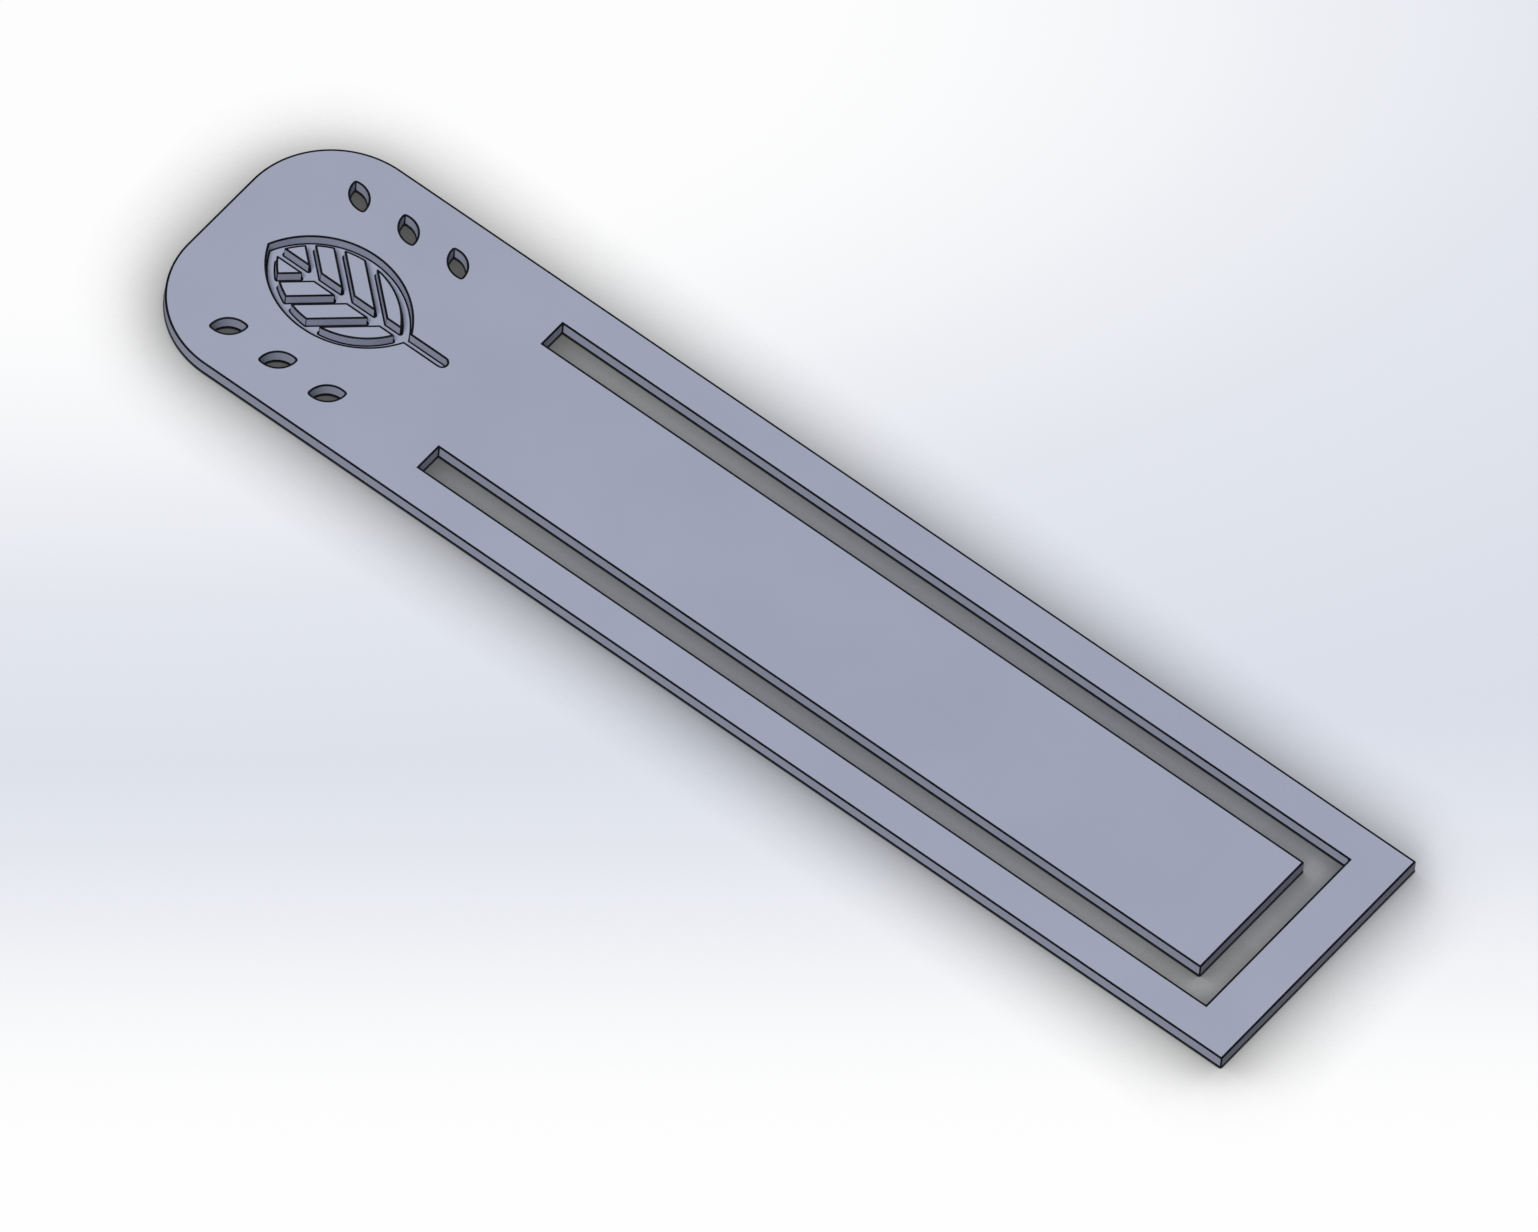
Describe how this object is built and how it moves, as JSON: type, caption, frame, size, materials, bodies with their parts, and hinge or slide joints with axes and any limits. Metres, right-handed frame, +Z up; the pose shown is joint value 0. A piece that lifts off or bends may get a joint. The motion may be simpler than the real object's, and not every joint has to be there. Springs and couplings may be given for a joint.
{
  "type": "bookmark",
  "caption": "Flat plastic bookmark with a rounded head, an engraved leaf and a long tongue, freed by a U-shaped slot, which bends to clip over a page.",
  "frame": {"origin": "middle of the underside: midway along the length and the width, at the bottom of the sheet", "axes": "+X runs from the rounded head to the square foot, +Y towards the right rail as seen from above with the head at the top, +Z up out of the engraved face"},
  "size_m": [0.133, 0.03, 0.0015],
  "materials": {
    "sheet_plastic": "satin blue-grey plastic with a fine grain"
  },
  "bodies": {
    "head": {"head_plate": "sheet_plastic", "tongue_root": "sheet_plastic", "left_rail_root": "sheet_plastic", "right_rail_root": "sheet_plastic"},
    "tongue_near": {"tongue_inner": "sheet_plastic"},
    "tongue_far": {"tongue_outer": "sheet_plastic"},
    "tongue_end": {"tongue_tip": "sheet_plastic"},
    "frame_near": {"left_rail_inner": "sheet_plastic", "right_rail_inner": "sheet_plastic"},
    "frame_far": {"left_rail_outer": "sheet_plastic", "right_rail_outer": "sheet_plastic"},
    "frame_end": {"left_rail_tip": "sheet_plastic", "right_rail_tip": "sheet_plastic", "foot_bar": "sheet_plastic"}
  },
  "joints": [
    {"name": "tongue_bend", "type": "hinge", "parent": "head", "child": "tongue_near", "pos_m": [-0.02522, 0, 0.00075], "axis": [0, -1, 0], "range_deg": [-4.5, 4.5], "stiffness_Nm_per_rad": 0.614},
    {"name": "tongue_bend_middle", "type": "hinge", "parent": "tongue_near", "child": "tongue_far", "pos_m": [-0.0059, 0, 0.00075], "axis": [0, -1, 0], "range_deg": [-4.5, 4.5], "stiffness_Nm_per_rad": 0.473},
    {"name": "tongue_bend_outer", "type": "hinge", "parent": "tongue_far", "child": "tongue_end", "pos_m": [0.02354, 0, 0.00075], "axis": [0, -1, 0], "range_deg": [-4.5, 4.5], "stiffness_Nm_per_rad": 0.257},
    {"name": "frame_bend", "type": "hinge", "parent": "head", "child": "frame_near", "pos_m": [-0.02495, 0, 0.00075], "axis": [0, -1, 0], "range_deg": [-4.5, 4.5], "stiffness_Nm_per_rad": 0.297},
    {"name": "frame_bend_middle", "type": "hinge", "parent": "frame_near", "child": "frame_far", "pos_m": [-0.005, 0, 0.00075], "axis": [0, -1, 0], "range_deg": [-4.5, 4.5], "stiffness_Nm_per_rad": 0.229},
    {"name": "frame_bend_outer", "type": "hinge", "parent": "frame_far", "child": "frame_end", "pos_m": [0.0254, 0, 0.00075], "axis": [0, -1, 0], "range_deg": [-4.5, 4.5], "stiffness_Nm_per_rad": 0.124}
  ],
  "couplings": [
    {"joint": "tongue_bend_middle", "follows": "tongue_bend", "ratio": 1},
    {"joint": "tongue_bend_outer", "follows": "tongue_bend", "ratio": 1},
    {"joint": "frame_bend_middle", "follows": "frame_bend", "ratio": 1},
    {"joint": "frame_bend_outer", "follows": "frame_bend", "ratio": 1}
  ]
}
